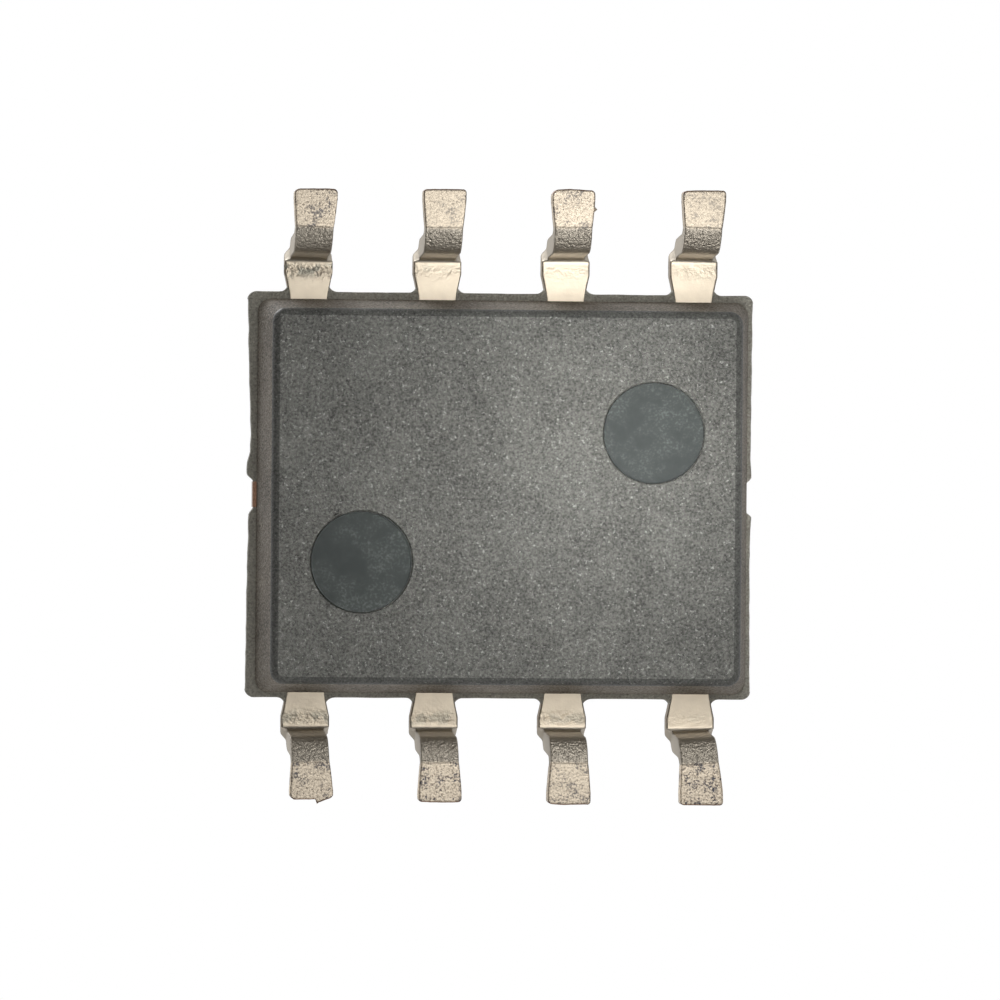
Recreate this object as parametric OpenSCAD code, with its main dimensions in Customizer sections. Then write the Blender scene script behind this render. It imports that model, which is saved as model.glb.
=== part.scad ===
/* [Package] */
// Length of the moulded body where its two halves meet, along the lead rows
body_l = 4.85; // [4.60:0.05:10.00]
// Width of the moulded body where its two halves meet, between the lead rows
body_w = 3.87; // [3.60:0.01:7.50]
// Height of the moulded body alone
body_h = 1.45; // [1.20:0.05:2.40]
// Gap between the board and the underside of the body
standoff = 0.15; // [0.10:0.01:0.30]
// Slope of the moulded walls from upright, in degrees
draft = 10; // [5:1:15]
// Radius of the rounded edge between a flat face and the walls
edge_r = 0.085; // [0.040:0.005:0.120]
// Radius of the walls' upright corners where the two halves meet
corner_r = 0.14; // [0.08:0.01:0.20]
// Radius of the corners of the flat faces
face_r = 0.05; // [0.01:0.01:0.08]
// How far the parting ledge stands out from the walls
ledge = 0.075; // [0.030:0.005:0.120]
// Radius of the ledge's corners
ledge_r = 0.10; // [0.03:0.01:0.14]

/* [Leads] */
// Pitch of the leads along a row
pitch = 1.27; // [1.00:0.01:1.27]
// How far the toes stand out from the body
reach = 1.075; // [0.950:0.005:1.600]
// Thickness of the lead frame
lead_t = 0.20; // [0.15:0.01:0.25]
// Width of a lead at its toe
foot_w = 0.42; // [0.31:0.01:0.51]
// Width of a lead's leg and heel
leg_w = 0.37; // [0.28:0.01:0.45]
// Width of the shoulder, which keeps the cut stubs of the dam bar
stub_w = 0.47; // [0.40:0.01:0.60]
// Width of a lead where it enters the body
neck_w = 0.36; // [0.28:0.01:0.42]
// Length over which a lead widens from its neck to its stubs
taper_l = 0.21; // [0.12:0.01:0.24]
// Radius inside both bends of a lead
bend_r = 0.06; // [0.05:0.01:0.12]
// Slope of a lead's leg from upright, in degrees
leg_slope = 4.5; // [2.0:0.5:12.0]
// Flat length of the sole, from the toe to the heel's bend
sole_l = 0.39; // [0.20:0.01:0.42]

/* [Moulding details] */
// Diameter of the two round ejector marks on the underside
ejector_d = 1.00; // [0.60:0.05:1.40]
// Depth of the ejector marks
ejector_depth = 0.03; // [0.01:0.01:0.06]
// Distance of an ejector mark from the middle, along the rows
ejector_x = 1.43; // [1.00:0.01:1.60]
// Distance of an ejector mark from the middle, across the rows
ejector_y = 0.64; // [0.40:0.01:0.90]
// Diameter of the round dimple that marks pin 1 on the top
dimple_d = 0.60; // [0.40:0.05:0.80]
// Depth of the pin 1 dimple
dimple_depth = 0.06; // [0.02:0.01:0.10]
// Distance from the dimple's rim to the edges of the flat top
dimple_edge = 0.22; // [0.15:0.01:0.40]
// Width of the notch in the ledge round a tie bar's cut end
notch_w = 0.30; // [0.24:0.01:0.45]
// How far a resin fillet follows the sides of a lead out of the ledge
fillet_l = 0.09; // [0.04:0.01:0.14]
// Width of a resin fillet where it leaves the ledge
fillet_w = 0.06; // [0.03:0.01:0.10]

/* [Lead frame inside the body] */
// Length of the die pad along the rows
pad_l = 2.90; // [2.30:0.05:3.20]
// Width of the die pad across the rows
pad_w = 2.00; // [1.60:0.05:2.20]
// How far the die pad is pressed below the leads
downset = 0.20; // [0.00:0.01:0.22]
// Length of the slope between a tie bar and the pad
downset_run = 0.30; // [0.20:0.01:0.40]
// Width of a tie bar
tie_w = 0.25; // [0.18:0.01:0.35]
// How far the cut end of a tie bar stands out of the wall
tie_stub = 0.015; // [0.00:0.005:0.03]
// Gap between the pad and the inner ends of the leads
pad_gap = 0.25; // [0.15:0.01:0.35]
// How far the fingers of the end leads turn towards the middle
end_turn = 0.38; // [0.00:0.01:0.50]
// How far the fingers of the inner leads turn towards the middle
mid_turn = 0.06; // [0.00:0.01:0.20]

/* [Die] */
// Length of the silicon die along the rows
die_l = 1.90; // [1.20:0.05:2.60]
// Width of the silicon die across the rows
die_w = 1.45; // [1.00:0.05:1.80]
// Thickness of the silicon die
die_t = 0.25; // [0.15:0.01:0.28]
// Thickness of the die-attach layer
attach_t = 0.025; // [0.010:0.005:0.050]
// How far the die-attach layer squeezes out round the die
attach_lip = 0.06; // [0.02:0.01:0.09]
// Distance from the middle of a bond to the die's edge
bond_inset = 0.10; // [0.08:0.01:0.14]

/* [Bond wires] */
// Diameter of a bond wire
wire_d = 0.025; // [0.020:0.001:0.032]
// Diameter of the ball that joins a wire to the die
ball_d = 0.075; // [0.060:0.005:0.090]
// Thickness of the pressed ball
ball_h = 0.020; // [0.015:0.001:0.030]
// Height of a wire's straight rise above its ball
rise = 0.060; // [0.040:0.005:0.080]
// Radius of the bend at the top of a wire's loop
loop_r = 0.050; // [0.040:0.005:0.060]
// Diameter of the flat stitch that joins a wire to its lead
stitch_d = 0.070; // [0.050:0.005:0.090]
// Thickness of a stitch
stitch_h = 0.015; // [0.010:0.001:0.020]

/* [Hidden] */
$fn = 48;
// Facets round a ball or disc that shapes a rounded edge
edge_fn = 32;
// Leads 1 to 4 lie at -Y and run towards +X, leads 5 to 8 lie at +Y and run back
leads = 8;
per_row = leads / 2;
// A cut runs this far past the surface that it opens
past = 0.1;
// Shortest length of a shoulder at the full width of its stubs
stub_min = 0.02;
// How much each face of a leg is drawn in between the bends, and how far its ends run on in them
leg_thinning = 0.002;
weld_l = 0.02;
// Thickness of the discs that stand for the rim of a body half
rim_t = 0.001;
// Sides of a bond wire's tube, and steps in the bend of its loop
wire_sides = 8;
loop_steps = 6;
// Height of a wire's underside above its lead, where it ends in the stitch
stitch_lift = 0.002;

// Heights: the lead frame lies at mid height, between the two halves of the mould
half_h = (body_h - lead_t) / 2;
body_top = standoff + body_h;
frame_z = standoff + half_h;
frame_top = frame_z + lead_t;
pad_z = frame_z - downset;
attach_z = pad_z + lead_t;
die_z = attach_z + attach_t;
die_top = die_z + die_t;

// Plan sizes: the ledge, and the flat faces inside their rounded edges
ledge_l = body_l + 2 * ledge;
ledge_w = body_w + 2 * ledge;
edge_in = (half_h - edge_r) * tan(draft) + edge_r / cos(draft);
face_l = body_l - 2 * edge_in;
face_w = body_w - 2 * edge_in;

// A lead's side view, from its toe inwards: sole, heel, leg, bend and shoulder
bend = 90 - leg_slope;
outer_r = bend_r + lead_t;
heel_y = body_w / 2 + reach - sole_l;
leg_rise = frame_z - bend_r * (1 - cos(bend)) - outer_r * (1 - cos(bend));
leg_l = leg_rise / cos(leg_slope);
leg_top_y = heel_y - outer_r * sin(bend) - leg_rise * tan(leg_slope);
leg_top_z = frame_z - bend_r * (1 - cos(bend));
shoulder_y = leg_top_y - bend_r * sin(bend);
// Towards the body the lead narrows from its stub to its neck
neck_y = body_w / 2;
stub_y = min(neck_y + taper_l, shoulder_y - stub_min);
finger_y = pad_w / 2 + pad_gap;

// Half the width of a lead that is y from the middle, between its neck and its stub
function half_w(y) = (neck_w + (stub_w - neck_w) * (y - neck_y) / (stub_y - neck_y)) / 2;

// Along its row, where lead n has its toe, its finger and its bond on the die
function toe_x(n) = ((per_row - 1) / 2 - (n - 1) % per_row) * pitch;
function finger_x(n) = toe_x(n) - sign(toe_x(n)) * (abs(toe_x(n)) > pitch ? end_turn : mid_turn);
function bond_x(n) = toe_x(n) / toe_x(1) * (die_l / 2 - bond_inset);
bond_y = die_w / 2 - bond_inset;
// A stitch sits just inside the end of its finger
stitch_y = finger_y + stitch_d;

// Carries what is drawn in the row at +Y to the row that lead n belongs to
module in_row(n) {
    rotate(n <= per_row ? 180 : 0) children();
}

module body() {
    color([0.32, 0.32, 0.31]) difference() {
        union() {
            translate([0, 0, frame_top]) body_half();
            translate([0, 0, frame_z]) rotate([180, 0, 0]) body_half();
            translate([0, 0, frame_z]) parting_ledge();
        }
        ejector_marks();
        pin_1_dimple();
        // The resin closes round everything that it was moulded over
        for (n = [1:leads]) {
            lead_form(n);
            wire_form(n);
        }
        pad_form();
        attach_form();
        die_form();
    }
}

// Half of the moulded body, on its wide side, with drafted walls and a rounded edge round its face
module body_half() {
    hull() for (sx = [-1, 1], sy = [-1, 1]) {
        translate([sx * (body_l / 2 - corner_r), sy * (body_w / 2 - corner_r), 0])
            cylinder(r = corner_r, h = rim_t, $fn = edge_fn);
        translate([sx * (face_l / 2 - face_r), sy * (face_w / 2 - face_r), half_h - edge_r])
            rounded_button();
    }
}

// Round button that gives a corner of a flat face its radius and its rounded edge
module rounded_button() {
    rotate_extrude($fn = edge_fn) intersection() {
        translate([face_r, 0]) circle(edge_r, $fn = edge_fn);
        translate([0, -edge_r]) square(2 * (face_r + edge_r));
    }
}

// Resin that filled the gap between the mould's halves, open round the tie bars
module parting_ledge() {
    difference() {
        linear_extrude(lead_t) {
            rounded_rectangle(ledge_l, ledge_w, ledge_r);
            for (n = [1:leads]) in_row(n) translate([toe_x(n), 0]) resin_fillets();
        }
        for (s = [-1, 1])
            translate([s * (body_l + ledge + past) / 2, 0, lead_t / 2])
                cube([ledge + past, notch_w, lead_t + 2 * past], center = true);
    }
}

module rounded_rectangle(l, w, r) {
    square([l - 2 * r, w], center = true);
    square([l, w - 2 * r], center = true);
    for (sx = [-1, 1], sy = [-1, 1]) translate([sx * (l / 2 - r), sy * (w / 2 - r)]) circle(r);
}

// Resin left in the corners between the ledge and the sides of a lead
module resin_fillets() {
    ledge_y = ledge_w / 2;
    root = half_w(ledge_y) + fillet_w;
    tip = half_w(ledge_y + fillet_l);
    polygon([[-root, neck_y], [-root, ledge_y], [-tip, ledge_y + fillet_l],
             [tip, ledge_y + fillet_l], [root, ledge_y], [root, neck_y]]);
}

module ejector_marks() {
    for (s = [-1, 1])
        translate([s * ejector_x, -s * ejector_y, standoff - past])
            cylinder(d = ejector_d, h = past + ejector_depth);
}

module pin_1_dimple() {
    from_edge = dimple_d / 2 + dimple_edge;
    translate([from_edge - face_l / 2, from_edge - face_w / 2, body_top - dimple_depth])
        cylinder(d = dimple_d, h = dimple_depth + past);
}

module lead(n) {
    color([0.82, 0.78, 0.70]) lead_form(n);
}

module lead_form(n) {
    in_row(n) translate([toe_x(n), 0, 0]) {
        translate([0, 0, frame_z]) linear_extrude(lead_t) shoulder_plan(finger_x(n) - toe_x(n));
        translate([0, shoulder_y, frame_z - bend_r]) strip_bend(stub_w);
        leg();
        translate([0, heel_y, outer_r]) rotate([180, 0, 0]) strip_bend(leg_w);
        translate([0, heel_y, 0]) linear_extrude(lead_t)
            polygon([[-leg_w / 2, 0], [-foot_w / 2, sole_l], [foot_w / 2, sole_l], [leg_w / 2, 0]]);
    }
}

// The level part of a lead seen from above: shoulder, neck, and the finger that turns aside
module shoulder_plan(turn) {
    stub = stub_w / 2;
    neck = neck_w / 2;
    polygon([[-stub, shoulder_y], [-stub, stub_y], [-neck, neck_y], [turn - neck, finger_y],
             [turn + neck, finger_y], [neck, neck_y], [stub, stub_y], [stub, shoulder_y]]);
}

// The straight leg between the bends: forming thins it, and its ends run on inside both bends
module leg() {
    translate([-leg_w / 2, leg_top_y, leg_top_z]) rotate([leg_slope, 0, 0])
        translate([0, leg_thinning, -leg_l - weld_l])
            cube([leg_w, lead_t - 2 * leg_thinning, leg_l + 2 * weld_l]);
}

// Strip of width w that starts level, above the X axis, and bends down towards +Y
module strip_bend(w) {
    rotate([0, -90, 0]) rotate_extrude(angle = bend)
        translate([bend_r, -w / 2]) square([lead_t, w]);
}

module die_pad() {
    color([0.72, 0.45, 0.30]) pad_form();
}

module pad_form() {
    translate([-pad_l / 2, -pad_w / 2, pad_z]) cube([pad_l, pad_w, lead_t]);
    for (turn = [0, 180]) rotate(turn) tie_bar();
}

// Strip from the pad's end up to the level of the leads and out through the wall
module tie_bar() {
    slope_x = pad_l / 2 + downset_run;
    end_x = body_l / 2 + tie_stub;
    translate([0, tie_w / 2, 0]) rotate([90, 0, 0]) linear_extrude(tie_w)
        polygon([[pad_l / 2 - past, pad_z], [pad_l / 2, pad_z], [slope_x, frame_z],
                 [end_x, frame_z], [end_x, frame_top], [slope_x, frame_top],
                 [pad_l / 2, attach_z], [pad_l / 2 - past, attach_z]]);
}

module die_attach() {
    color([0.75, 0.75, 0.76]) attach_form();
}

module attach_form() {
    translate([0, 0, attach_z]) linear_extrude(attach_t)
        square([die_l + 2 * attach_lip, die_w + 2 * attach_lip], center = true);
}

module die() {
    color([0.45, 0.50, 0.60]) die_form();
}

module die_form() {
    translate([0, 0, die_z]) linear_extrude(die_t) square([die_l, die_w], center = true);
}

module bond_wire(n) {
    color([0.95, 0.75, 0.30]) wire_form(n);
}

// A wire rises from its ball, bends over and slopes down to its stitch on the finger of lead n
module wire_form(n) {
    run = [finger_x(n) - bond_x(n), stitch_y - bond_y];
    in_row(n) translate([bond_x(n), bond_y, die_top]) rotate(atan2(run.y, run.x)) {
        cylinder(d = ball_d, h = ball_h);
        wire_tube(wire_path(norm(run)));
        translate([norm(run), 0, frame_top - die_top]) cylinder(d = stitch_d, h = stitch_h);
    }
}

// Middle line of a wire, as [distance along its run, height above the die]. The slope is the one
// at which a straight run, tangent to the bend, comes down in the middle of the stitch.
function wire_path(run_l) =
    let (neck_h = ball_h + rise,
         end_h = frame_top + stitch_lift + wire_d / 2 - die_top,
         drop = neck_h - end_h,
         slope = atan2(drop, run_l - loop_r) + asin(loop_r / norm([drop, run_l - loop_r])),
         turns = [for (k = [0:loop_steps]) (90 + slope) * k / loop_steps])
    concat([[0, ball_h / 2]], [for (t = turns) [loop_r * (1 - cos(t)), neck_h + loop_r * sin(t)]],
           [[run_l, end_h]]);

// Tube round a path in the XZ plane, with a mitred ring of vertices at each of its points
module wire_tube(path) {
    last = len(path) - 1;
    rings = [for (i = [0:last])
        let (into = unit(path[max(i, 1)] - path[max(i, 1) - 1]),
             out = unit(path[min(i + 1, last)] - path[min(i + 1, last) - 1]),
             along = unit(into + out),
             mitre = wire_d / 2 / (along * into))
        for (k = [0:wire_sides - 1])
            let (a = (k + 0.5) * 360 / wire_sides, off = mitre * sin(a))
            [path[i].x - off * along.y, wire_d / 2 * cos(a), path[i].y + off * along.x]];
    sides = [for (i = [0:last - 1], k = [0:wire_sides - 1])
        let (next = (k + 1) % wire_sides, here = i * wire_sides, there = here + wire_sides)
        [here + k, here + next, there + next, there + k]];
    first_cap = [for (k = [wire_sides - 1:-1:0]) k];
    last_cap = [for (k = [0:wire_sides - 1]) last * wire_sides + k];
    polyhedron(rings, concat(sides, [first_cap, last_cap]), convexity = 4);
}

function unit(v) = v / norm(v);

body();
lead(1);  // lead_1
lead(2);  // lead_2
lead(3);  // lead_3
lead(4);  // lead_4
lead(5);  // lead_5
lead(6);  // lead_6
lead(7);  // lead_7
lead(8);  // lead_8
die_pad();
die_attach();
die();
bond_wire(1);  // bond_wire_1
bond_wire(2);  // bond_wire_2
bond_wire(3);  // bond_wire_3
bond_wire(4);  // bond_wire_4
bond_wire(5);  // bond_wire_5
bond_wire(6);  // bond_wire_6
bond_wire(7);  // bond_wire_7
bond_wire(8);  // bond_wire_8
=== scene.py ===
"""Looks of a small-outline chip: a moulded epoxy body on eight plated gull-wing leads.

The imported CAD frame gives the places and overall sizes. The body and the leads are modelled here more
finely than in the frame, and the pieces sealed inside keep their CAD meshes and get finishes.
Sizes are millimetres until a mesh is written. The chip stands on its soles at z = 0.
"""

import logging
import math
from dataclasses import dataclass
from enum import Enum, IntEnum
from functools import partial
from typing import Any, Callable, Sequence

import bpy
import numpy as np
from bpy.types import Material, Mesh, Node, NodeSocket, NodeTree, Object, World
from mathutils import Matrix, Vector
from mathutils.geometry import delaunay_2d_cdt


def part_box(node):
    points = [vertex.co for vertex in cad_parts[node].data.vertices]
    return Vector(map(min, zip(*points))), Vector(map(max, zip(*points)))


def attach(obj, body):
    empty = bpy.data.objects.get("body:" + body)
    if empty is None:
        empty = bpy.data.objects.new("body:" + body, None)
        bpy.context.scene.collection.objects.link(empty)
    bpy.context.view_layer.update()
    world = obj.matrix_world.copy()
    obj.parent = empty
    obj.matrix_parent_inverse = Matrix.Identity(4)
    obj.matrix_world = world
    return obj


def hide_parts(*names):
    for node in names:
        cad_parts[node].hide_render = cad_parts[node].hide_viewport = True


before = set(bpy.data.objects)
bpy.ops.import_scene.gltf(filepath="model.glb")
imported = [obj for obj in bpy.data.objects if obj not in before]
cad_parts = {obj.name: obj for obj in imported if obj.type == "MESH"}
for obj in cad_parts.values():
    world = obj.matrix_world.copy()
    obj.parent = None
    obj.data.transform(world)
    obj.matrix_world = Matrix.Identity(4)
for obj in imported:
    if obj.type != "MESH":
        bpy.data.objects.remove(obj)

MM = 0.001
PITCH = 1.27
LOG = logging.getLogger("chip")
Ring = list[int]
Add = Callable[..., Node]
Pairs = tuple[tuple[float, float], ...]


# ---------------------------------------------------------------- helpers


def linear(hex_colour: str) -> tuple[float, ...]:
    """Turns an sRGB hex colour into the linear colour that a shader takes.

    Args:
        hex_colour: Six hex digits after a hash sign.

    Returns:
        Linear red, green and blue, and an alpha of 1.
    """
    parts = [int(hex_colour[i : i + 2], 16) / 255 for i in (1, 3, 5)]
    return (*(c / 12.92 if c <= 0.04045 else ((c + 0.055) / 1.055) ** 2.4 for c in parts), 1.0)


def add_node(
    tree: NodeTree, kind: str, inputs: dict[str, Any] | Sequence[Any] = (), **settings: Any
) -> Node:
    """Adds a node with its settings, values and links.

    Args:
        tree: Shader or geometry node tree that takes the node.
        kind: Blender's type name of the node, without ShaderNode where it starts with that.
        inputs: Its inputs by name, or its first ones in their own order. Each is a value, the output
            socket to link, or a node whose first output to link.
        **settings: Properties of the node itself.

    Returns:
        The new node.
    """
    node = tree.nodes.new(kind if kind.startswith(("GeometryNode", "NodeGroup")) else f"ShaderNode{kind}")
    for name, value in settings.items():
        setattr(node, name, value)
    for key, value in inputs.items() if isinstance(inputs, dict) else enumerate(inputs):
        if isinstance(value, Node):
            value = next(output for output in value.outputs if not output.is_unavailable)
        if isinstance(value, NodeSocket):
            tree.links.new(value, node.inputs[key])
        else:
            node.inputs[key].default_value = value
    return node


def fresh_nodes(owner: Material | World) -> Add:
    """Turns on an owner's nodes and empties its tree.

    Args:
        owner: Material or surroundings that hold the tree.

    Returns:
        What adds nodes to the tree.
    """
    owner.use_nodes = True
    owner.node_tree.nodes.clear()
    return partial(add_node, owner.node_tree)


def box_mm(node: str) -> tuple[np.ndarray, np.ndarray]:
    """Lowest and highest corner of a CAD node, in millimetres."""
    low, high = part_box(node)
    return np.array(low) / MM, np.array(high) / MM


def toe_x(lead: int) -> float:
    """Place of a lead's toe along its row, in millimetres; leads 1 to 4 run towards +X, 5 to 8 back."""
    place = ((lead - 1) % 4 - 1.5) * PITCH
    return place if lead <= 4 else -place


def ripple(x: np.ndarray, seed: int, period: float) -> np.ndarray:
    """Smooth waviness between -1 and 1 along a line.

    Args:
        x: Places along the line, in millimetres.
        seed: Number that picks one wave out of many.
        period: Length of the longest wave, in millimetres.

    Returns:
        The wave's height at each place.
    """
    draw = np.random.default_rng(seed)
    waves = [(period / k, draw.uniform(0, 2 * math.pi), 1 / k) for k in (1, 1.7, 2.9, 4.6)]
    total = sum(weight for _, _, weight in waves)
    return sum(weight * np.sin(2 * math.pi * x / length + phase) for length, phase, weight in waves) / total


def smooth_step(x: np.ndarray, start: float, end: float) -> np.ndarray:
    """Rises smoothly from 0 at the start to 1 at the end."""
    t = np.clip((x - start) / (end - start), 0, 1)
    return t * t * (3 - 2 * t)


def new_object(name: str, data: bpy.types.ID) -> Object:
    """Makes an object at the origin and links it into the scene.

    Args:
        name: Name of the object.
        data: Its mesh, lamp or camera.

    Returns:
        The object.
    """
    made = bpy.data.objects.new(name, data)
    bpy.context.scene.collection.objects.link(made)
    return made


def face_outwards(mesh: Mesh) -> None:
    """Flips the faces of a closed mesh if they point inwards, which makes its volume negative.

    Args:
        mesh: The mesh.
    """
    mesh.calc_loop_triangles()
    corners = np.array([[mesh.vertices[v].co for v in t.vertices] for t in mesh.loop_triangles])
    if np.einsum("ij,ij->i", corners[:, 0], np.cross(corners[:, 1], corners[:, 2])).sum() < 0:
        mesh.flip_normals()


def stand_in(mesh: Mesh, node: str, slot: "Slot", smooth_deg: float) -> Object:
    """Makes a piece of its mesh, under the mesh's name, in place of a CAD node.

    Args:
        mesh: Mesh of the piece.
        node: CAD node that the piece replaces.
        slot: Material slot of the piece; not used.
        smooth_deg: Edges sharper than this stay sharp.

    Returns:
        The piece.
    """
    mesh.shade_smooth()
    mesh.set_sharp_from_angle(angle=math.radians(smooth_deg))
    piece = new_object(mesh.name, mesh)
    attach(piece, "root")
    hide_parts(node)
    return piece


def report(piece: Object) -> None:
    """Logs a finished piece and how many triangles it has."""
    LOG.info("%s: %d triangles", piece.name, sum(len(face.vertices) - 2 for face in piece.data.polygons))


# ---------------------------------------------------------------- finishes


class Slot(Enum):
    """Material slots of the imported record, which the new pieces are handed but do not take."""

    MOULD_COMPOUND = "mould_compound"
    TIN_PLATE = "tin_plate"


class Mark(Enum):
    """Attributes that say how hard the strip was worked at a point, from 0 to 1."""

    PRESSED = "pressed"
    FORMED = "formed"
    DENTED = "dented"


@dataclass(frozen=True)
class Look:
    """What a finish gives its shader."""

    base: str
    # Colours laid over the base in turn, as (how much of it shows, hex colour or node)
    layers: Sequence[tuple[Any, Any]]
    # Value or node of each other input
    inputs: dict[str, Any]


@dataclass(frozen=True)
class Finish:
    """What all finishes share: one Principled material that reads Object coordinates."""

    name: str

    def material(self) -> Material:
        """Builds the material, unless it was built before.

        Returns:
            The material.
        """
        found = bpy.data.materials.get(self.name)
        if found:
            return found
        made = bpy.data.materials.new(self.name)
        add = fresh_nodes(made)
        look = self.look(add, add("TexCoord").outputs["Object"])
        colour: Any = linear(look.base)
        for share, over in look.layers:
            over = linear(over) if isinstance(over, str) else over
            colour = add("Mix", {"Factor": share, "A": colour, "B": over}, data_type="RGBA")
        shader = add("BsdfPrincipled", {"Base Color": colour, **look.inputs})
        add("OutputMaterial", {"Surface": shader})
        return made

    def look(self, add: Add, place: NodeSocket) -> Look:
        """Adds the finish's patterns.

        Args:
            add: Adds nodes to the material.
            place: Object coordinates, in metres.

        Returns:
            The colours and values that the patterns make.
        """
        raise NotImplementedError


@dataclass(frozen=True)
class MouldedEpoxy(Finish):
    """Silica-filled epoxy moulded against a spark-eroded cavity."""

    # The eye sees a dull charcoal with a fine, glinting, frost-like grain and a few paler flecks of silica.
    name: str = "moulded_epoxy"
    body: str = "#383835"
    pale: str = "#94948d"
    fleck: str = "#d4d4cc"
    grain_mm: float = 0.023
    fleck_mm: float = 0.0322
    cloud_mm: float = 0.5
    clouding: float = 0.06
    # Stretches of the noises over which the clouds, the pale grain and the flecks come up
    cloud_ramp: tuple[float, float] = (0.3, 0.7)
    grain_ramp: tuple[float, float] = (0.28, 0.74)
    fleck_ramp: tuple[float, float] = (0.60, 0.72)
    fleck_cover: float = 0.7
    relief_mm: float = 0.025
    roughness: float = 0.46
    gloss: float = 0.5

    def look(self, add: Add, place: NodeSocket) -> Look:
        """Adds the eroded grain, faint clouds in it, and the paler silica.

        Args:
            add: Adds nodes to the material.
            place: Object coordinates, in metres.

        Returns:
            The look.
        """
        grain, cloud, fleck = (
            add("TexNoise", {"Vector": place, "Scale": 1 / (size * MM), "Detail": 3.0, "Roughness": 0.65})
            for size in (self.grain_mm, self.cloud_mm, self.fleck_mm)
        )
        lighter = add("MapRange", [cloud, *self.cloud_ramp, -self.clouding, self.clouding])
        shade = add("Math", [grain, lighter], operation="ADD")
        share = add("MapRange", [shade, *self.grain_ramp])
        rare = add("MapRange", [fleck, *self.fleck_ramp, 0.0, self.fleck_cover])
        bump = add("Bump", {"Height": grain, "Distance": self.relief_mm * MM, "Strength": 1.0})
        return Look(
            self.body,
            [(share, self.pale), (rare, self.fleck)],
            {"Normal": bump, "Roughness": self.roughness, "Specular IOR Level": self.gloss},
        )


@dataclass(frozen=True)
class PinFaceEpoxy(Finish):
    """The same epoxy pressed flat by the ground face of an ejector pin."""

    # The eye sees a smoother, slightly green-blue disc with clouds and a thin, patchy bloom of release wax.
    name: str = "pin_face_epoxy"
    body: str = "#474b4a"
    pale: str = "#515553"
    bloom: str = "#6b716e"
    cloud_mm: float = 0.30
    bloom_mm: float = 0.025
    # Stretches of the noises over which the clouds, the bloom's area and its patches come up
    cloud_ramp: tuple[float, float] = (0.35, 0.65)
    spread_ramp: tuple[float, float] = (0.44, 0.62)
    bloom_ramp: tuple[float, float] = (0.48, 0.68)
    roughness: float = 0.66
    gloss: float = 0.15

    def look(self, add: Add, place: NodeSocket) -> Look:
        """Adds faint clouds and, inside them, the bloom.

        Args:
            add: Adds nodes to the material.
            place: Object coordinates, in metres.

        Returns:
            The look.
        """
        cloud, patch = (
            add("TexNoise", {"Vector": place, "Scale": 1 / (size * MM), "Detail": 4.0, "Roughness": 0.6})
            for size in (self.cloud_mm, self.bloom_mm)
        )
        share, spread, thin = (
            add("MapRange", [noise, *ramp])
            for noise, ramp in ((cloud, self.cloud_ramp), (cloud, self.spread_ramp), (patch, self.bloom_ramp))
        )
        bloomed = add("Math", [spread, thin], operation="MULTIPLY")
        return Look(
            self.body,
            [(share, self.pale), (bloomed, self.bloom)],
            {"Roughness": self.roughness, "Specular IOR Level": self.gloss},
        )


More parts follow.
